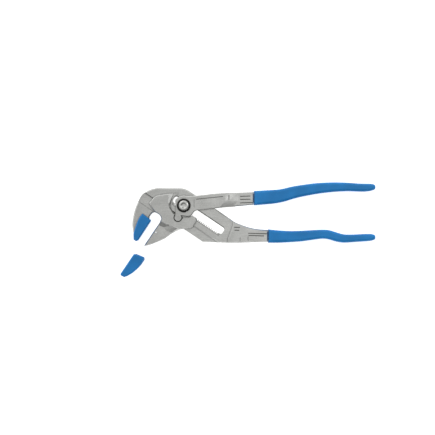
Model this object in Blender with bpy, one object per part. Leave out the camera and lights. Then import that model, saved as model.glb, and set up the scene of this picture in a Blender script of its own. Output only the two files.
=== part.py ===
"""Adjustable push-button pliers of the 250 mm class, lying flat with the button upwards.

Metres, +Z up.  The origin is the middle of the pivot bolt's rear face, +X runs
towards the ends of the handles and +Y towards the back of the hook.  Outlines are written in
millimetres, either in X and Y or in the head's own axes: u along the slot, away from the
jaws, and w across it, towards the hook's back.
"""
import math

import bmesh
import bpy
from mathutils import Matrix, Vector

MM = 0.001

# Driving dimensions, in millimetres and degrees.
SLOT_ANGLE = 34.0  # the slot's fall below +X
MID_PLANE = 8.0  # height of the middle of the steel above the rest plane
HEAD_HALF = 5.0  # half thickness of the head and of both jaw noses
FLANGE_HALF = 3.2  # half thickness of the guide flange
SHANK_HALF = 4.9  # half thickness of both handles in front of the grips
TANG_HALF = 2.6  # half thickness of the handles inside the grips
CHEEK_HALF = 7.6  # half thickness over the cheeks and over the fork
COVER_HALF = 8.0  # half thickness over the jaw covers
GRIP_HALF = 6.0  # half thickness over the grips
GAP = 0.3  # clearance between touching pieces
CHEEK_EDGE = 0.8  # chamfer round the cheeks and the fork
EDGE_BREAK = 1.0  # chamfer along the guide shoulder and the slot

GUIDE_EDGE = -11.8  # w of the shoulder that the sliding jaw runs along
FLANGE_EDGE = -20.1  # w of the flange's free edge
HOOK_CHANNEL_EDGE = -23.0  # w where the tongue's channel in the hook ends
HOOK_FACE = -21.4  # u of the hook jaw's gripping face
THROAT_FACE = -22.9  # u of the hook's hollow above the gripping face
JAW_FACE = -10.8  # u of the sliding jaw's gripping face, at rest

SLOT_START, SLOT_END = -12.6, 48.6  # u of the slot's ends
SLOT_LOW, SLOT_HIGH = -3.3, 3.9  # w of the tooth tips and of the smooth side
SLOT_CORNER = 2.4
RACK_START = -9.0  # u of the first tooth
TOOTH_PITCH = 2.0
TOOTH_DEPTH = 1.7
RACK_LOW, RACK_HIGH = 7.6, 10.6  # heights between which the rack's teeth stand
LEDGE_EDGE = -6.0  # w of the recess in front of the teeth
RELIEF_EDGE = -5.7  # w of the relief behind the teeth

HUB_RADIUS = 10.3
HUB_BORE = 7.2
LOBE = (2.0, -13.7)  # u and w of the driving lobe's centre
LOBE_RADIUS = 4.2
CROTCH = 47.0  # x where the fork's two plates join

BOLT_RADIUS = 6.9
BOLT_TOP = 13.0
STEM_RADIUS = 2.4
STEM_HOLLOW = 1.75
SPRING_RADIUS = 1.3
SPRING_WIRE = 0.25
BUTTON_RADIUS = 5.15

COVER_LIFT = 36.0  # how far the loose cover has been drawn off its jaw, along -w
COVER_DRIFT = 1.5  # and how far it has moved towards the hook

STEEL = ("satin_steel", (0.44, 0.445, 0.43), 0.34, 1.0)
DARK_STEEL = ("black_oxide", (0.035, 0.034, 0.033), 0.42, 0.9)
SPRING_STEEL = ("spring_steel", (0.5, 0.5, 0.5), 0.3, 1.0)
GRIP_PLASTIC = ("dipped_blue", (0.02, 0.18, 0.47), 0.45, 0.0)
COVER_PLASTIC = ("moulded_blue", (0.02, 0.2, 0.5), 0.35, 0.0)

COS = math.cos(math.radians(SLOT_ANGLE))
SIN = math.sin(math.radians(SLOT_ANGLE))


# Points and outlines.  Outlines run anticlockwise seen from +Z.


def head(u, w):
    """The X and Y of a point in the head's own axes."""
    return (u * COS + w * SIN, -u * SIN + w * COS)


def in_head(points):
    return [head(*point) for point in points]


def arc(centre, radius, start, end, steps, stretch=1.0):
    """Points on an arc, angles in degrees; stretch scales it across."""
    angles = [math.radians(start + (end - start) * i / steps) for i in range(steps + 1)]
    return [
        (centre[0] + radius * math.cos(a), centre[1] + radius * stretch * math.sin(a))
        for a in angles
    ]


def circle(centre, radius, steps):
    return arc(centre, radius, 0, 360 - 360 / steps, steps - 1)


def smooth(points, steps=3):
    """A smooth open curve through the points."""
    first = Vector(points[0]) * 2 - Vector(points[1])
    last = Vector(points[-1]) * 2 - Vector(points[-2])
    p = [first] + [Vector(point) for point in points] + [last]
    out = []
    for a, b, c, d in zip(p, p[1:], p[2:], p[3:]):
        for i in range(steps):
            t = i / steps
            q = (
                b * 2
                + (c - a) * t
                + (a * 2 - b * 5 + c * 4 - d) * t ** 2
                + (b * 3 - a - c * 3 + d) * t ** 3
            )
            out.append(tuple(q / 2))
    return out + [tuple(points[-1])]


def rounded(corners, steps=4):
    """A polygon whose corners, given as (x, y, radius), are turned into arcs."""
    out = []
    for i, (x, y, radius) in enumerate(corners):
        here = Vector((x, y))
        back = Vector(corners[i - 1][:2]) - here
        ahead = Vector(corners[(i + 1) % len(corners)][:2]) - here
        if not radius:
            out.append((x, y))
            continue
        half = back.angle(ahead) / 2
        back.normalize()
        ahead.normalize()
        centre = here + (back + ahead).normalized() * (radius / math.sin(half))
        start = here + back * (radius / math.tan(half)) - centre
        end = here + ahead * (radius / math.tan(half)) - centre
        turn = start.angle_signed(end)
        for k in range(steps + 1):
            spoke = start.copy()
            spoke.rotate(Matrix.Rotation(-turn * k / steps, 2))
            out.append(tuple(centre + spoke))
    return out


def inset(points, distance):
    """The outline moved inwards by a distance."""
    out = []
    for i, point in enumerate(points):
        here = Vector(point)
        into = (here - Vector(points[i - 1])).normalized()
        on = (Vector(points[(i + 1) % len(points)]) - here).normalized()
        left = Vector((-into.y, into.x)) + Vector((-on.y, on.x))
        out.append(tuple(here + left * (distance / (1 + into.dot(on)))))
    return out


def ribbon(middle, half_widths):
    """The outline of a strip along a middle line."""
    upper, lower = [], []
    for i, point in enumerate(middle):
        before = Vector(middle[max(i - 1, 0)])
        after = Vector(middle[min(i + 1, len(middle) - 1)])
        along = (after - before).normalized()
        side = Vector((-along.y, along.x)) * half_widths[i]
        upper.append(tuple(Vector(point) + side))
        lower.append(tuple(Vector(point) - side))
    return lower + upper[::-1]


# Solids.


def material(finish):
    name, colour, roughness, metallic = finish
    made = bpy.data.materials.get(name)
    if made:
        return made
    made = bpy.data.materials.new(name)
    made.use_nodes = True
    shader = made.node_tree.nodes["Principled BSDF"]
    shader.inputs["Base Color"].default_value = (*colour, 1)
    shader.inputs["Roughness"].default_value = roughness
    shader.inputs["Metallic"].default_value = metallic
    return made


def stack(name, rings):
    """A closed solid through outlines with equal numbers of points, given with their heights."""
    bm = bmesh.new()
    layers = [
        [bm.verts.new((x * MM, y * MM, z * MM)) for x, y in points]
        for points, z in rings
    ]
    for low, high in zip(layers, layers[1:]):
        for i in range(len(low)):
            j = (i + 1) % len(low)
            bm.faces.new((low[i], low[j], high[j], high[i]))
    bmesh.ops.connect_verts_nonplanar(bm, angle_limit=0.001, faces=bm.faces)
    bm.faces.new(layers[0][::-1])
    bm.faces.new(layers[-1])
    mesh = bpy.data.meshes.new(name)
    bm.to_mesh(mesh)
    bm.free()
    made = bpy.data.objects.new(name, mesh)
    bpy.context.collection.objects.link(made)
    return made


def slab(name, points, low, high, edge=0.0):
    """An outline raised between two heights, with its top and bottom edges chamfered."""
    if not edge:
        return stack(name, [(points, low), (points, high)])
    small = inset(points, edge)
    rings = [(small, low), (points, low + edge), (points, high - edge), (small, high)]
    return stack(name, rings)


def plate(name, points, half, edge=0.0):
    """A slab centred on the middle plane."""
    return slab(name, points, MID_PLANE - half, MID_PLANE + half, edge)


def combine(base, operation, *others):
    """Join the others to the base, or cut them from it."""
    for other in others:
        step = base.modifiers.new(other.name, "BOOLEAN")
        step.operation = operation
        step.solver = "EXACT"
        step.object = other
        other.hide_render = True
        other.display_type = "WIRE"


def cut(base, *others):
    combine(base, "DIFFERENCE", *others)


def join(base, *others):
    combine(base, "UNION", *others)


def both_faces_stack(name, rings):
    """Two solids through outlines given with their distance from the middle plane, inner first."""
    low = stack(name + "_rear", [(points, MID_PLANE - half) for points, half in rings[::-1]])
    high = stack(name + "_front", [(points, MID_PLANE + half) for points, half in rings])
    return low, high


def both_faces(name, points, inner, outer):
    """Two slabs, one on each side of the middle plane."""
    low = slab(name + "_rear", points, MID_PLANE - outer, MID_PLANE - inner)
    high = slab(name + "_front", points, MID_PLANE + inner, MID_PLANE + outer)
    return low, high


def finish(made, name, look):
    """Name a finished piece, colour it and shade its round faces smooth."""
    made.name = name
    made.data.materials.append(material(look))
    made.data.shade_smooth()
    made.data.set_sharp_from_angle(angle=math.radians(32))
    return made


# The fixed lever.


def fixed_outline():
    """The silhouette of the hook, the body and the guide flange, anticlockwise."""
    back = [
        (-40.5, 13.4), (-43, 11.3), (-45.4, 7.7), (-47.5, 3.1), (-49.3, -0.9), (-51.1, -6.4),
        (-52.3, -12), (-53.1, -17.5), (-52.9, -23), (-52, -28), (-50.6, -32),
    ]
    throat = head(THROAT_FACE + 4, FLANGE_EDGE - 6)
    return (
        smooth(back, 2)
        + [head(-22.6, -55.6), head(HOOK_FACE, -54.6), head(HOOK_FACE, -31.6), head(THROAT_FACE, -29.6)]
        + arc(throat, 4, 180 - SLOT_ANGLE, 90 - SLOT_ANGLE, 5)
        + [head(THROAT_FACE + 4.3, FLANGE_EDGE), head(36.9, FLANGE_EDGE)]
        + [(26, -37.4), (34.4, -38), (45, -38.4), (46.9, -30.2), (48.9, -24.1), (50.4, -15.5)]
        + smooth([(13, 10.2), (9.6, 12.5), (6.2, 14.8), (2, 17.1), (-2.5, 18.1)], 2)
        + smooth([(-27, 18.2), (-31.5, 17.4), (-36, 15.9)], 2)
    )


def shank_outline():
    """The fixed lever's bare handle between the head and the grip."""
    top = [(44, -12), (50.2, -15.6), (54, -17.7), (57.5, -19.1), (61, -20.5), (66.5, -22.3)]
    top += [(72.5, -23.7), (79, -24.6), (86.6, -25.1)]
    bottom = [(86.6, -37.6), (80, -37.6), (70, -37.9), (57, -38.4), (44, -38.4)]
    return bottom[::-1] + top[::-1]


def rack_comb():
    """The spaces between the rack's teeth, joined above the tooth tips."""
    root = SLOT_LOW - TOOTH_DEPTH
    lift = SLOT_LOW + 0.8
    count = int((SLOT_END - 3 - RACK_START) / TOOTH_PITCH)
    points = [(RACK_START + TOOTH_PITCH * count, lift), (RACK_START, lift)]
    for k in range(count):
        u = RACK_START + TOOTH_PITCH * k
        points += [(u + 0.25, SLOT_LOW), (u + 0.7, root), (u + 1.3, root), (u + 1.75, SLOT_LOW)]
    return in_head(points)


def slot_outline(low, high, start=SLOT_START, end=SLOT_END, corner=SLOT_CORNER):
    ends = ((start, low), (end, low), (end, high), (start, high))
    return rounded([(*head(u, w), corner) for u, w in ends])


def channel_outline(spread):
    """The recess that the sliding jaw's cheeks run in, its shoulder moved up by a distance."""
    shoulder = GUIDE_EDGE + spread
    foot = HOOK_CHANNEL_EDGE
    return in_head([(-46, shoulder), (-46, foot), (-20, foot), (-20, -30), (62, -30), (62, shoulder)])


def grooves(name, lines, width, depth, half):
    """Grooves in both faces of a plate: a steep wall, and a slope on the left of each line."""
    made = []
    for i, line in enumerate(lines):
        floor = ribbon(line, [0.12] * len(line))
        wide = ribbon(line, [width] * len(line))
        mouth = floor[: len(line)] + wide[len(line):]
        rings = [(floor, half - depth), (mouth, half + 0.02), (mouth, half + 1)]
        made += both_faces_stack(f"{name}_{i}", rings)
    return made


def build_fixed_lever():
    body = plate("head_plate", fixed_outline(), HEAD_HALF, 1.2)
    upright = HEAD_HALF - EDGE_BREAK
    rings = [(channel_outline(0), FLANGE_HALF), (channel_outline(0), upright)]
    rings.append((channel_outline(2 * EDGE_BREAK), HEAD_HALF + EDGE_BREAK))
    cut(body, *both_faces_stack("guide_channel", rings))
    join(body, plate("shank_plate", shank_outline(), SHANK_HALF, 1.0))
    join(body, plate("lower_tang", ribbon(LOWER_TANG, TANG_WIDTHS), TANG_HALF))
    wide = slot_outline(SLOT_LOW, SLOT_HIGH + 2 * EDGE_BREAK)
    narrow = slot_outline(SLOT_LOW, SLOT_HIGH)
    above = [(narrow, MID_PLANE + upright), (wide, MID_PLANE + HEAD_HALF + EDGE_BREAK)]
    below = [(wide, MID_PLANE - HEAD_HALF - EDGE_BREAK), (narrow, MID_PLANE - upright)]
    cut(body, stack("slot", below + above))
    ledge = slot_outline(LEDGE_EDGE, SLOT_LOW + 2, SLOT_START + 1.4, SLOT_END - 1.4, 1.2)
    relief = slot_outline(RELIEF_EDGE, SLOT_LOW + 2, SLOT_START + 1.4, SLOT_END - 1.4, 1.2)
    cut(body, slab("tooth_ledge", ledge, RACK_HIGH, MID_PLANE + 6))
    cut(body, slab("tooth_relief", relief, MID_PLANE - 6, RACK_LOW))
    cut(body, slab("tooth_spaces", rack_comb(), RACK_LOW - 0.5, RACK_HIGH + 0.5))
    marks = [[(51.8, -22.8), (57.7, -23)], [(52.2, -25.8), (57, -26)]]
    marks += [[(66.2, -28.9), (85.6, -29.5)], [(66.6, -31.2), (82.5, -31.7)]]
    cut(body, *grooves("grip_mark", marks, 0.95, 0.7, SHANK_HALF))
    crease = [(50, -16.5), (49.6, -21), (46.8, -29), (44.6, -34.4)]
    bars = [[(57.6, -33), (57.6, -36.6)], [(65.8, -32), (65.8, -36)]]
    cut(body, *grooves("crease", [crease], 1.6, 0.55, SHANK_HALF))
    cut(body, *grooves("bar", bars, 1.4, 0.6, SHANK_HALF))
    return finish(body, "fixed_lever", STEEL)


# The upper lever.


def fork_outline(reach):
    """The hub, its lobe and the fork's arms; reach runs from 1 at the base to 0 on the face."""
    lobe = head(*LOBE)
    under = [(-0.6, -10.9), (5.1, -11.4), (8.3, -9.6), (10, -6.9), (13.5, -4.8), (20, -4.3), (30, -3.1)]
    slope = 15 * reach
    return (
        [(-8.5, 5.8), (-8.5, 0), (-8.5, -8.3)]
        + arc(lobe, LOBE_RADIUS, 135, 385, 14)
        + smooth(under, 3)
        + [(38 + slope, -2.1 + reach), (43.5 + slope, 5.2), (43 + slope, 13.2), (40, 13.1), (30, 12.3)]
        + [(20, 11), (13, 10.3), (4, 9.8)]
        + arc((0, 0), HUB_RADIUS, 72, 144, 9)
    )


def build_upper_lever():
    base, shoulder = fork_outline(1), fork_outline(0.21)
    face = inset(fork_outline(0), CHEEK_EDGE)
    below = [(face, -CHEEK_HALF), (shoulder, CHEEK_EDGE - CHEEK_HALF), (base, 0.5 - SHANK_HALF)]
    above = [(base, SHANK_HALF - 0.5), (shoulder, CHEEK_HALF - CHEEK_EDGE), (face, CHEEK_HALF)]
    lever = stack("fork", [(points, MID_PLANE + half) for points, half in below + above])
    shank = [(40, -1.9), (46, -1.4), (50, -1.1), (60, -0.3), (71.9, 0.8)]
    shank += [(71.9, 14.3), (60, 13.8), (50, 13.3), (40, 12.8)]
    join(lever, plate("upper_shank", shank, SHANK_HALF, 1.0))
    join(lever, plate("upper_tang", ribbon(UPPER_TANG, TANG_WIDTHS), TANG_HALF))
    inside = [(-20, -25), (30, -25)] + arc((CROTCH - 9, 6), 9, -70, 70, 8) + [(30, 25), (-20, 25)]
    cut(lever, plate("fork_gap", inside, HEAD_HALF + GAP))
    cut(lever, slab("hub_bore", circle((0, 0), HUB_BORE, 48), -2, 18))
    edge = [[(12.6, 6.1), (27, 7.5), (40.5, 9)]]
    cut(lever, *grooves("panel_edge", edge, 0.8, 0.5, CHEEK_HALF))
    cut(lever, *grooves("panel_bar", [[(10.4, 6), (10.4, -1.8)]], 1.3, 0.5, CHEEK_HALF))
    cut(lever, *grooves("bar", [[(46.1, 11), (46.1, 5.9)]], 1.6, 0.7, CHEEK_HALF - CHEEK_EDGE))
    marks = [[(58, y), (68.5, y + 0.3)] for y in (9.0, 5.8)] + [[(58, 2.2), (71, 2.7)]]
    cut(lever, *grooves("grip_mark", marks, 1.0, 0.7, SHANK_HALF))
    return finish(lever, "upper_lever", STEEL)


# The sliding jaw.


def cheek_outline(ramp):
    """The cheeks' silhouette; ramp runs from 0 at the outer faces to 1 on the nose."""
    upper = [head(-10.1, -27.2), (-19.6, -18.9), (-14, -20.9), (-9.5, -22.6), (-6.2, -23.9)]
    lower = [head(-10.1, -31.2), (-20.6, -22.3), (-18.4, -25.6), (-12.4, -27.7), (-7.2, -25.2)]
    edge = [tuple(Vector(a).lerp(Vector(b), ramp)) for a, b in zip(upper, lower)]
    right = [(0, -23.7), (6.5, -23.4), (9.8, -21.6), (13.6, -15.2), (12.6, -12.9), (8.1, -10.4)]
    right += [(2, -6), (0, 9)]
    top = smooth([(-6, 12.6), (-16, 12), (-25, 10.7)], 2) + [(-27.8, 10), (-30.4, 8.8), (-35.3, 2.8)]
    throat = smooth([(-29.9, -6.2), (-26.6, -8.4), (-24.2, -10.4), (-23, -13.4)], 3)
    return edge + right + top + [(-35.6, 2), (-35.2, 1.2)] + throat


def nose_outline():
    """The gripping part of the sliding jaw."""
    outer = [(-8.8, -55.8), (-5, -51.3), (-0.5, -44.6), (3, -38.5), (5.4, -31.9)]
    outer += [(7.9, -26.4), (10.4, -22.8), (13, -20.3)]
    face = [(-9.8, -22.6), (JAW_FACE, -27.8), (JAW_FACE, -57.4)]
    return in_head(face + outer + [(13, -16), (-10, -16)])


def pocket_outline():
    """The room for the turning hub and, at its foot, the socket for its lobe."""
    socket = LOBE_RADIUS + 0.35
    points = arc((-3.1, 0), 10.7, 90, 180, 8) + arc((-3.1, 0), 10.7, 180, 268, 8, 1.11)[1:]
    points += [(-2.6, -13.2)] + arc(LOBE, socket, 190, 350, 12) + [(6.6, -12.6), (6.6, -11.2)]
    points += arc((2.9, 0), 11.4, -68, 88, 14) + [(2.9, 16), (-3.1, 16)]
    return in_head(points)


def ramp_rings():
    """The slope from the cheek's face down to the hub's pocket."""
    crest = [(-15.8, 13), (-15.8, 0.5), (-14.9, -2.4), (-11.7, -7.5), (-9.3, -9.8), (0, -9), (0, 13)]
    foot = [(-10.4, 13), (-13.4, 1.4), (-12.9, -3), (-10, -7.7), (-8.1, -9.3), (0, -8.5), (0, 13)]
    return [(foot, HEAD_HALF + 0.9), (crest, CHEEK_HALF + 0.05), (crest, CHEEK_HALF + 1)]


def build_sliding_jaw():
    rings = [(inset(cheek_outline(0), CHEEK_EDGE), CHEEK_HALF)]
    rings += [(cheek_outline(0), CHEEK_HALF - CHEEK_EDGE), (cheek_outline(1), HEAD_HALF + 0.1)]
    below = [(points, MID_PLANE - half) for points, half in rings]
    above = [(points, MID_PLANE + half) for points, half in rings[::-1]]
    jaw = stack("cheeks", below + above)
    join(jaw, plate("nose", nose_outline(), HEAD_HALF, 0.9))
    web = JAW_FACE - 0.8  # the hook's web reaches this far back when the jaws close
    under = [(-45, -11), (-45, -25), (web, -25), (web, FLANGE_EDGE - GAP)]
    under += [(60, FLANGE_EDGE - GAP), (60, -11)]
    cut(jaw, plate("flange_way", in_head(under), FLANGE_HALF + GAP))
    over = in_head([(-45, GUIDE_EDGE - GAP), (60, GUIDE_EDGE - GAP), (60, 30), (-45, 30)])
    cut(jaw, plate("body_way", over, HEAD_HALF + GAP))
    cut(jaw, slab("hub_pocket", pocket_outline(), -2, 18))
    cut(jaw, *both_faces_stack("pocket_ramp", ramp_rings()))
    cut(jaw, slab("nose_hole", circle((-28.9, -27.6), 0.7, 12), -2, 18))
    return finish(jaw, "sliding_jaw", STEEL)


# The pivot and its push button.


def ring_solid(name, profile, steps=40):
    """A turned solid with a hole through it, from a closed profile of radius and height."""
    bm = bmesh.new()
    spokes = []
    for k in range(steps):
        a = 2 * math.pi * k / steps
        around = Vector((math.cos(a), math.sin(a), 0))
        up = Vector((0, 0, 1))
        spokes.append([bm.verts.new((around * r + up * z) * MM) for r, z in profile])
    for here, there in zip(spokes, spokes[1:] + spokes[:1]):
        for i in range(len(profile)):
            j = (i + 1) % len(profile)
            bm.faces.new((here[i], there[i], there[j], here[j]))
    bmesh.ops.recalc_face_normals(bm, faces=bm.faces)
    mesh = bpy.data.meshes.new(name)
    bm.to_mesh(mesh)
    bm.free()
    made = bpy.data.objects.new(name, mesh)
    bpy.context.collection.objects.link(made)
    return made


def turned(name, profile, steps=40):
    """A turned solid from the radii and heights of its outline, bottom to top."""
    return stack(name, [(circle((0, 0), radius, steps), z) for radius, z in profile])


def build_pivot_bolt():
    bolt = turned("bolt_head", [(BOLT_RADIUS - 0.6, 0), (BOLT_RADIUS, 0.6), (BOLT_RADIUS, 2.7)])
    low, high = SLOT_LOW + GAP, SLOT_HIGH - GAP
    block = slot_outline(low, high, -4.8, 5)
    join(bolt, slab("bolt_block", block, 2.0, BOLT_TOP))
    cut(bolt, slab("plunger_bore", circle((0, 0), STEM_RADIUS + GAP, 32), 1.2, 16))
    keyway = in_head([(-3.2, -6), (3.2, -6), (3.2, 0), (-3.2, 0)])
    cut(bolt, slab("keyway", keyway, 5.0, 16))
    return finish(bolt, "pivot_bolt", STEEL)


def build_collar():
    profile = [
        (3.4, 13.3), (BOLT_RADIUS - 0.2, 13.3), (BOLT_RADIUS, 13.6), (BOLT_RADIUS, 16.2),
        (BOLT_RADIUS - 0.5, 16.6),
        (BUTTON_RADIUS + 0.35, 16.6), (BUTTON_RADIUS + 0.35, 13.9), (3.4, 13.9),
    ]
    return finish(ring_solid("bolt_collar", profile), "bolt_collar", DARK_STEEL)


def build_lock_plunger():
    """The sprung stem, with the teeth that catch in the rack and a key above them."""
    plunger = turned("stem", [(STEM_RADIUS, 5.4), (STEM_RADIUS, 15.6), (1.3, 16.2), (1.3, 16.65)])
    foot, tip = SLOT_LOW + 0.1, SLOT_LOW - 1.3
    teeth = [(2.9, 0), (2.9, SLOT_LOW + GAP)]
    for middle in (TOOTH_PITCH, 0, -TOOTH_PITCH):
        teeth += [(middle + 0.45, foot), (middle + 0.15, tip)]
        teeth += [(middle - 0.15, tip), (middle - 0.45, foot)]
    teeth += [(-2.9, SLOT_LOW + GAP), (-2.9, 0)]
    join(plunger, slab("pawl", in_head(teeth[::-1]), 7.9, 10.2))
    key = in_head([(-1.4, -3), (1.4, -3), (1.4, 0), (-1.4, 0)])
    join(plunger, slab("key", key, 9.5, BOLT_TOP))
    cut(plunger, slab("spring_room", circle((0, 0), STEM_HOLLOW, 24), 4, 12.1))
    return finish(plunger, "lock_plunger", SPRING_STEEL)


def build_push_button():
    """A shallow dished button, bored from below for the plunger's end."""
    r = BUTTON_RADIUS
    profile = [(r - 0.3, 16.5), (r, 16.8), (r, 17.6), (r - 0.4, 18.1), (r - 1.1, 18.4), (r - 1.9, 18.4)]
    profile += [(2.6, 18.15), (2.3, 17.6), (1.7, 17.35), (0.8, 17.25)]
    button = turned("button", profile)
    cut(button, slab("stem_seat", circle((0, 0), 1.6, 20), 16, 16.95))
    return finish(button, "push_button", STEEL)


def build_button_spring():
    curve = bpy.data.curves.new("button_spring", "CURVE")
    curve.dimensions = "3D"
    curve.bevel_depth = SPRING_WIRE * MM
    curve.bevel_resolution = 1
    curve.use_fill_caps = True
    turns, per_turn, low, high = 8, 16, 1.5, 11.7
    count = turns * per_turn + 1
    line = curve.splines.new("POLY")
    line.points.add(count - 1)
    for i, point in enumerate(line.points):
        a = 2 * math.pi * i / per_turn
        z = low + (high - low) * i / (count - 1)
        x, y = SPRING_RADIUS * math.cos(a), SPRING_RADIUS * math.sin(a)
        point.co = (x * MM, y * MM, z * MM, 1)
    made = bpy.data.objects.new("button_spring", curve)
    made.data.materials.append(material(SPRING_STEEL))
    bpy.context.collection.objects.link(made)
    return made


# The grips and the jaw covers.


UPPER_TOP = [
    (72.3, 15.1), (90, 16.1), (98, 16.7), (105, 18.1), (112, 19.8), (120, 21.1), (130, 22.5),
    (140, 23.5), (155, 24), (170, 23.6), (180, 22.8), (192, 22.6),
]
UPPER_BOTTOM = [
    (72.3, 0.2), (90, 1.7), (98, 2.8), (105, 4.4), (112, 6.6), (120, 8.7), (130, 10.7), (140, 12.4),
    (155, 14.1), (170, 14.8), (184, 14.3), (192, 14.9),
]
LOWER_TOP = [
    (87, -24.4), (97, -25.5), (110, -26.2), (122, -25.9), (134, -25.2), (143, -24.8), (150, -25.3),
    (157, -27.4), (165, -29.6), (175, -29.8), (186, -29.2), (193, -29.1),
]
LOWER_BOTTOM = [
    (87, -38.4), (97, -38.4), (110, -37.8), (122, -36.9), (134, -35.2), (143, -34.2), (150, -35),
    (157, -37.2), (165, -38.3), (175, -37.7), (186, -37), (193, -36.4),
]


UPPER_TIP = [(196.6, 16.4), (197.6, 19.1), (196.4, 21.7)]
LOWER_TIP = [(196.8, -35), (197.6, -32.7), (196.6, -30.2)]


def between(tops, bottoms, reach):
    """The middle line between a grip's two edges, as far as the tang reaches."""
    pairs = [(Vector(a) + Vector(b)) / 2 for a, b in zip(tops, bottoms)]
    return [tuple(point) for point in pairs if point.x < reach]


UPPER_TANG = [(68, 7.5)] + between(UPPER_TOP, UPPER_BOTTOM, 185)
LOWER_TANG = [(80, -31.2)] + between(LOWER_TOP, LOWER_BOTTOM, 187)
TANG_WIDTHS = [4.4, 4.4, 4.4, 4.2, 3.9, 3.7, 3.4, 3.1, 2.9, 2.7, 2.6, 2.6]


def build_grip(name, tops, bottoms, tip, tang):
    """A dipped sleeve with rounded edges, open at its mouth and hollow for the tang."""
    end = smooth([bottoms[-1], tip[0], tip[1], tip[2], tops[-1]], 3)
    outline = smooth(bottoms, 3)[:-1] + end + smooth(tops, 3)[::-1][1:]
    profile = [(2.6, 0), (1.5, 0.35), (0.7, 1.0), (0.2, 1.9), (0, 3.1)]
    below = [(inset(outline, d), MID_PLANE - GRIP_HALF + z) for d, z in profile]
    above = [(inset(outline, d), MID_PLANE + GRIP_HALF - z) for d, z in profile[::-1]]
    grip = stack(name + "_sleeve", below + above)
    room = ribbon(tang, [width + GAP + 0.05 for width in TANG_WIDTHS[: len(tang)]])
    cut(grip, plate(name + "_room", room, TANG_HALF + GAP))
    return finish(grip, name, GRIP_PLASTIC)


def build_covers():
    """The clip-on covers: one on the hook, the other drawn off the sliding jaw."""
    hook = smooth([(-30.6, -30.6), (-31, -35.4), (-30.1, -41), (-28.5, -47.4), (-26.6, -53.2)], 2)
    hook += [(-23.2, -57.9), (-20.2, -57.8), (-19, -56.2), (-19.3, -32.3), (-20.6, -31.3)]
    upper = plate("upper_cover_block", in_head(hook), COVER_HALF, 1.1)
    room = [(-21.1, -20), (-60, -20), (-60, -50.6), (-27.2, -53), (-22.5, -56.2), (-21.1, -55)]
    cut(upper, plate("upper_cover_room", in_head(room), HEAD_HALF + GAP))
    finish(upper, "upper_jaw_cover", COVER_PLASTIC)

    loose = [(-13.2, -58.6), (-12.2, -59.7), (-8.2, -59.4), (-5.9, -56.3), (-3.6, -51.5), (-2.1, -46)]
    loose += [(-1, -39.9), (-1, -33.5), (-2.6, -31.4), (-11.7, -33.2), (-13.2, -34.4)]
    loose = [(u - COVER_DRIFT, w - COVER_LIFT) for u, w in loose]
    lower = plate("lower_cover_block", in_head(loose), COVER_HALF, 1.1)
    room = [(-11.1, -20), (-11.1, -57.9), (-8.5, -56.2), (-4.7, -51.6), (-0.1, -44.9), (3.4, -38.6)]
    room += [(20, -38.6), (20, -20)]
    room = [(u - COVER_DRIFT, w - COVER_LIFT) for u, w in room]
    cut(lower, plate("lower_cover_room", in_head(room), HEAD_HALF + GAP))
    return upper, finish(lower, "lower_jaw_cover", COVER_PLASTIC)


def main():
    for old in list(bpy.data.objects):
        bpy.data.objects.remove(old, do_unlink=True)
    build_fixed_lever()
    build_upper_lever()
    build_sliding_jaw()
    build_pivot_bolt()
    build_collar()
    build_lock_plunger()
    build_push_button()
    build_button_spring()
    build_grip("upper_grip", UPPER_TOP, UPPER_BOTTOM, UPPER_TIP, UPPER_TANG)
    build_grip("lower_grip", LOWER_TOP, LOWER_BOTTOM, LOWER_TIP, LOWER_TANG)
    build_covers()


main()
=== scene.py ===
"""Looks, stage and light for the adjustable push-button pliers, which lie flat, button upwards.

The CAD nodes keep their shape.  Their sharp edges are broken, and they get satin steel, black
oxide, dipped PVC or moulded plastic.
"""

import math

import bmesh
import bpy
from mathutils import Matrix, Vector

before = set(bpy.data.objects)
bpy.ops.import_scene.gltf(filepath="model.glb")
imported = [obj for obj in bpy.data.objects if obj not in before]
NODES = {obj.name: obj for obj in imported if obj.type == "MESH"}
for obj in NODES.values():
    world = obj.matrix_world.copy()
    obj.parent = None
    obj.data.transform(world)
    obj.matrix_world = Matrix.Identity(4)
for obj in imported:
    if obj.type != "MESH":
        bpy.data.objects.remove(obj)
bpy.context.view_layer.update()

MM = 0.001

# Linear colours.
STEEL_PALE = (0.70, 0.705, 0.69, 1)
STEEL_GREY = (0.58, 0.585, 0.572, 1)
TURNED_STEEL = (0.75, 0.75, 0.74, 1)
WORN_STEEL = (0.86, 0.86, 0.84, 1)
OXIDE = (0.03, 0.029, 0.028, 1)
WORN_OXIDE = (0.2, 0.2, 0.19, 1)
GRIP_BLUE = (0.001, 0.25, 0.69, 1)
COVER_BLUE = (0.001, 0.24, 0.67, 1)
FLOOR_GREY = (0.9, 0.9, 0.9, 1)
FLOOR_WHITE = (0.93, 0.93, 0.93, 1)

# Scales of the noise patterns, to a metre.
STEEL_CLOUDS = 70
STEEL_SPECKS = 1100
STEEL_PEEN = 2600
STEEL_GRAIN = (60, 1400, 1400)  # long along the grain
PLASTIC_CLOUDS = 45
OXIDE_CLOUDS = 300
FLOOR_CLOUDS = 6

SLOT_TURN = math.radians(34)  # the forgings are ground along the slot
HEAD_X, HANDLE_X = -50 * MM, 75 * MM  # painted light: between them the steel's colour grows brighter, for the light that falls brighter on the handles
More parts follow.
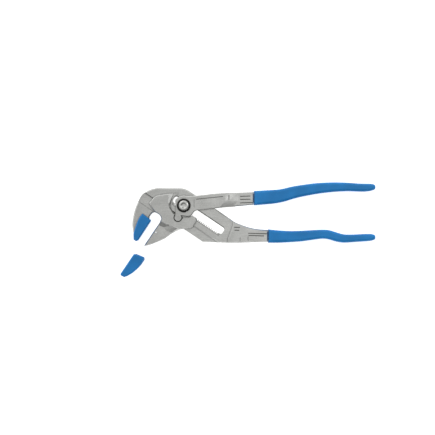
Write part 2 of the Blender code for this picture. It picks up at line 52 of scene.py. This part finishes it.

# Each node's look, the width of its broken edges in millimetres, and the steps across them.
FINISHES = {
    "fixed_lever": ("forged", 0.22, 2),
    "sliding_jaw": ("forged", 0.22, 2),
    "upper_lever": ("lever", 0.22, 2),
    "pivot_bolt": ("turned", 0.15, 2),
    "push_button": ("turned", 0.12, 2),
    "lock_plunger": ("turned", 0.08, 2),
    "bolt_collar": ("oxide", 0.12, 2),
    "button_spring": ("turned", 0.02, 1),
    "upper_grip": ("grip", 0.3, 2),
    "lower_grip": ("grip", 0.3, 2),
    "upper_jaw_cover": ("cover", 0.4, 3),
    "lower_jaw_cover": ("cover", 0.4, 3),
}
SHARP_EDGE = math.radians(12)  # edges that bend more than this are broken
FLAT_FACE = math.radians(0.6)  # triangles that differ less than this become one face

# The room's brightest direction, and its grey by how far a direction agrees with that one.
BRIGHT_SIDE = (-0.38, 0.66, 0.65)
ROOM_GREYS = ((0.0, 0.2), (0.2, 0.24), (0.4, 0.54), (0.66, 0.62), (0.88, 0.66))
ROOM_WARMTH = 0.985  # blue's share of each grey
ROOM_STRENGTH = 1.1

# Each lamp's place in metres, its disk's diameter in metres, and its watts.
LAMPS = {
    "key": ((-0.7, 0.95, 1.0), 1.2, 2),
    "fill": ((0.75, 0.3, 1.0), 0.6, 1.3),
}
LAMP_AIM = (0.05, 0, 0)
FLOOR_SIZE = 3.0
FLOOR_DROP = 0.3 * MM  # the floor's depth below the rest plane

VIEW_CENTRE = (34.7 * MM, -12.3 * MM)
VIEW_HEIGHT = 12 * MM  # of the plane that the view's width is measured in
VIEW_WIDTH = 448 * MM
LENS, SENSOR = 100, 36


# Shader nodes.


def start_material(name, metallic=0.0, **sockets):
    made = bpy.data.materials.new(name)
    made.use_nodes = True
    tree = made.node_tree
    shader = tree.nodes["Principled BSDF"]
    shader.inputs["Metallic"].default_value = metallic
    for socket, value in sockets.items():
        shader.inputs[socket.replace("_", " ")].default_value = value
    return made, tree, shader


def node(tree, kind, **values):
    """A shader node with its settings, and its inputs given by in_ and the socket's name."""
    made = tree.nodes.new(kind)
    for name, value in values.items():
        if name.startswith("in_"):
            made.inputs[name[3:].replace("_", " ")].default_value = value
        else:
            setattr(made, name, value)
    return made


def place(tree, stretch=(1, 1, 1), turn=0.0):
    """Object coordinates, stretched and turned about Z."""
    where = node(tree, "ShaderNodeTexCoord")
    mapping = node(tree, "ShaderNodeMapping")
    mapping.inputs["Scale"].default_value = stretch
    mapping.inputs["Rotation"].default_value = (0, 0, turn)
    tree.links.new(where.outputs["Object"], mapping.inputs["Vector"])
    return mapping.outputs["Vector"]


def noise(tree, vector, scale, detail=3.0, rough=0.5):
    made = node(tree, "ShaderNodeTexNoise", in_Scale=scale, in_Detail=detail, in_Roughness=rough)
    tree.links.new(vector, made.inputs["Vector"])
    return made.outputs["Fac"]


def spread(tree, factor, low, high, start=0.3, end=0.7):
    """Turn a factor that runs from start to end into a value that runs from low to high."""
    made = node(tree, "ShaderNodeMapRange")
    for name, value in (("From Min", start), ("From Max", end), ("To Min", low), ("To Max", high)):
        made.inputs[name].default_value = value
    tree.links.new(factor, made.inputs["Value"])
    return made.outputs["Result"]


def mix(tree, factor, first, second, blend="MIX"):
    """A blend of two colours, each given as a value or as a socket."""
    made = node(tree, "ShaderNodeMix", data_type="RGBA", blend_type=blend)
    for value, socket in ((factor, 0), (first, 6), (second, 7)):
        if isinstance(value, bpy.types.NodeSocket):
            tree.links.new(value, made.inputs[socket])
        else:
            made.inputs[socket].default_value = value
    return made.outputs[2]


def shaded(tree, tone, shade):
    return mix(tree, 1.0, tone, shade, "MULTIPLY")


def bump(tree, shader, *layers):
    """Bumps from height factors, each with its distance in metres."""
    normal = None
    for height, distance in layers:
        made = node(tree, "ShaderNodeBump", in_Strength=1.0, in_Distance=distance)
        tree.links.new(height, made.inputs["Height"])
        if normal is not None:
            tree.links.new(normal, made.inputs["Normal"])
        normal = made.outputs["Normal"]
    tree.links.new(normal, shader.inputs["Normal"])


def worn_edges(tree, amount):
    """A factor that rises along edges, where the rounded normal leaves the face's own."""
    rounded = node(tree, "ShaderNodeBevel", samples=4, in_Radius=0.35 * MM)
    face = node(tree, "ShaderNodeNewGeometry")
    agree = node(tree, "ShaderNodeVectorMath", operation="DOT_PRODUCT")
    tree.links.new(rounded.outputs["Normal"], agree.inputs[0])
    tree.links.new(face.outputs["Normal"], agree.inputs[1])
    return spread(tree, agree.outputs["Value"], 0.0, amount, 0.995, 0.9)


def painted_hollow_shade(tree, tone, reach, darkest, start):
    """Painted shade: a tone made darker where other surfaces stand within reach, as in hollows and
    between parts.
    """
    crevice = node(tree, "ShaderNodeAmbientOcclusion", samples=6, in_Distance=reach)
    return shaded(tree, tone, spread(tree, crevice.outputs["AO"], darkest, 1.0, start, 0.95))


# Materials.


def steel_tone(tree, pale, grey, clouds, grain):
    """Cloudy, specked and grained, with worn edges, painted light that makes the handles brighter,
    and painted shade in the hollows.
    """
    specks = noise(tree, place(tree), STEEL_SPECKS, 3, 0.7)
    along = node(tree, "ShaderNodeSeparateXYZ")
    tree.links.new(place(tree), along.inputs[0])
    tone = mix(tree, spread(tree, clouds, 0.0, 1.0), grey, pale)
    tone = shaded(tree, tone, spread(tree, specks, 0.86, 1.1))
    tone = shaded(tree, tone, spread(tree, grain, 0.92, 1.06))
    # painted light: the colour brightens from the head to the handles, where more light falls
    tone = shaded(tree, tone, spread(tree, along.outputs["X"], 0.9, 1.1, HEAD_X, HANDLE_X))
    tone = mix(tree, worn_edges(tree, 0.5), tone, WORN_STEEL)
    # painted shade: the steel's colour is darkened in its hollows and between parts
    return painted_hollow_shade(tree, tone, 1.6 * MM, 0.42, 0.35)


def steel(name, pale, grey, rough, grain_turn=0.0):
    """Satin plated steel with a fine grain and a cloudy polish."""
    made, tree, shader = start_material(name, metallic=1.0)
    clouds = noise(tree, place(tree), STEEL_CLOUDS, 4)
    grain = noise(tree, place(tree, STEEL_GRAIN, grain_turn), 1.0, 3, 0.6)
    peen = noise(tree, place(tree), STEEL_PEEN, 2)
    tone = steel_tone(tree, pale, grey, clouds, grain)
    tree.links.new(tone, shader.inputs["Base Color"])
    tree.links.new(spread(tree, clouds, rough - 0.05, rough + 0.06), shader.inputs["Roughness"])
    bump(tree, shader, (clouds, 0.02 * MM), (peen, 0.016 * MM), (grain, 0.012 * MM))
    return made


def plastic(name, colour, rough, speckle, dimple):
    """Blue plastic with a soft mottled sheen and a fine grain."""
    made, tree, shader = start_material(name, Specular_IOR_Level=0.5)
    clouds = noise(tree, place(tree), PLASTIC_CLOUDS, 4)
    fine = noise(tree, place(tree), speckle, 3)
    darker = tuple(value * 0.82 for value in colour[:3]) + (1,)
    paler = tuple(min(1, value * 1.12 + 0.006) for value in colour[:3]) + (1,)
    tone = mix(tree, spread(tree, clouds, 0.0, 1.0), darker, paler)
    # painted shade: the plastic's colour is darkened in its hollows and where it meets other parts
    tone = painted_hollow_shade(tree, tone, 2.5 * MM, 0.5, 0.3)
    tree.links.new(tone, shader.inputs["Base Color"])
    tree.links.new(spread(tree, fine, rough - 0.06, rough + 0.08), shader.inputs["Roughness"])
    bump(tree, shader, (clouds, 0.05 * MM), (fine, dimple))
    return made


def oxide(name):
    """Black oxide on steel, rubbed a little on its edges."""
    made, tree, shader = start_material(name, metallic=0.8)
    clouds = noise(tree, place(tree), OXIDE_CLOUDS, 4)
    tone = mix(tree, worn_edges(tree, 0.5), OXIDE, WORN_OXIDE)
    tree.links.new(tone, shader.inputs["Base Color"])
    tree.links.new(spread(tree, clouds, 0.34, 0.5), shader.inputs["Roughness"])
    bump(tree, shader, (clouds, 0.01 * MM))
    return made


def floor_material():
    """White matt acrylic that glows a little, so that no deep shadow falls on it."""
    made, tree, shader = start_material("white_floor", Roughness=0.9, Emission_Strength=0.8)
    shader.inputs["Emission Color"].default_value = (1, 1, 1, 1)
    cloud = noise(tree, place(tree), FLOOR_CLOUDS, 2)
    tree.links.new(mix(tree, cloud, FLOOR_GREY, FLOOR_WHITE), shader.inputs["Base Color"])
    return made


MATERIALS = {
    "forged": steel("satin_forged_steel", STEEL_PALE, STEEL_GREY, 0.33, SLOT_TURN),
    "lever": steel("satin_lever_steel", STEEL_PALE, STEEL_GREY, 0.31),
    "turned": steel("bright_turned_steel", TURNED_STEEL, STEEL_PALE, 0.2),
    "oxide": oxide("black_oxide_steel"),
    "grip": plastic("dipped_blue_pvc", GRIP_BLUE, 0.42, 1500, 0.02 * MM),
    "cover": plastic("moulded_blue_plastic", COVER_BLUE, 0.36, 2400, 0.015 * MM),
}


# CAD nodes.


def refine(name, look, edge, segments):
    """Break the sharp edges of a CAD node and give it its material."""
    part = NODES[name]
    weld = part.modifiers.new("weld", "WELD")
    weld.merge_threshold = 0.01 * MM
    flat = part.modifiers.new("flat_faces", "DECIMATE")
    flat.decimate_type = "DISSOLVE"
    flat.angle_limit = FLAT_FACE
    broken = part.modifiers.new("broken_edges", "BEVEL")
    broken.width = edge * MM
    broken.segments = segments
    broken.limit_method = "ANGLE"
    broken.angle_limit = SHARP_EDGE
    broken.use_clamp_overlap = True
    broken.miter_outer = "MITER_ARC"
    even = part.modifiers.new("even_shading", "WEIGHTED_NORMAL")
    even.keep_sharp = True
    even.weight = 95
    part.data.shade_smooth()
    part.data.materials.clear()
    part.data.materials.append(MATERIALS[look])


# Stage.


def build_floor():
    bm = bmesh.new()
    bmesh.ops.create_grid(bm, x_segments=2, y_segments=2, size=FLOOR_SIZE)
    mesh = bpy.data.meshes.new("floor")
    bm.to_mesh(mesh)
    bm.free()
    floor = bpy.data.objects.new("floor", mesh)
    floor.location = (0, 0, -FLOOR_DROP)
    floor.data.materials.append(floor_material())
    bpy.context.scene.collection.objects.link(floor)


def build_room():
    """A soft room that is brighter overhead and towards the key light, and darker in front."""
    world = bpy.data.worlds.new("studio")
    world.use_nodes = True
    tree = world.node_tree
    where = node(tree, "ShaderNodeTexCoord")
    facing = node(tree, "ShaderNodeVectorMath", operation="DOT_PRODUCT")
    facing.inputs[1].default_value = Vector(BRIGHT_SIDE).normalized()
    tree.links.new(where.outputs["Generated"], facing.inputs[0])
    ramp = node(tree, "ShaderNodeValToRGB")
    stops = ramp.color_ramp.elements
    stops[0].position, stops[1].position = ROOM_GREYS[0][0], ROOM_GREYS[-1][0]
    for position, _ in ROOM_GREYS[1:-1]:
        stops.new(position)
    for stop, (_, grey) in zip(stops, ROOM_GREYS):
        stop.color = (grey, grey, grey * ROOM_WARMTH, 1)
    tree.links.new(facing.outputs["Value"], ramp.inputs["Fac"])
    tree.links.new(ramp.outputs["Color"], tree.nodes["Background"].inputs["Color"])
    tree.nodes["Background"].inputs["Strength"].default_value = ROOM_STRENGTH
    bpy.context.scene.world = world


def build_lamp(name, where, size, watts):
    data = bpy.data.lights.new(name, "AREA")
    data.shape = "DISK"
    data.size = size
    data.energy = watts
    lamp = bpy.data.objects.new(name, data)
    lamp.location = where
    towards = Vector(LAMP_AIM) - Vector(where)
    lamp.rotation_euler = towards.to_track_quat("-Z", "Y").to_euler()
    bpy.context.scene.collection.objects.link(lamp)


def build_camera():
    """Straight above the tool, with the jaws to the left."""
    data = bpy.data.cameras.new("camera")
    data.lens = LENS
    data.sensor_width = SENSOR
    camera = bpy.data.objects.new("camera", data)
    camera.location = (*VIEW_CENTRE, VIEW_HEIGHT + VIEW_WIDTH * LENS / SENSOR)
    bpy.context.scene.collection.objects.link(camera)
    bpy.context.scene.camera = camera


for part_name, finish in FINISHES.items():
    refine(part_name, *finish)
bpy.context.scene.view_settings.view_transform = "Standard"
build_floor()
build_room()
for lamp_name, setting in LAMPS.items():
    build_lamp(lamp_name, *setting)
build_camera()
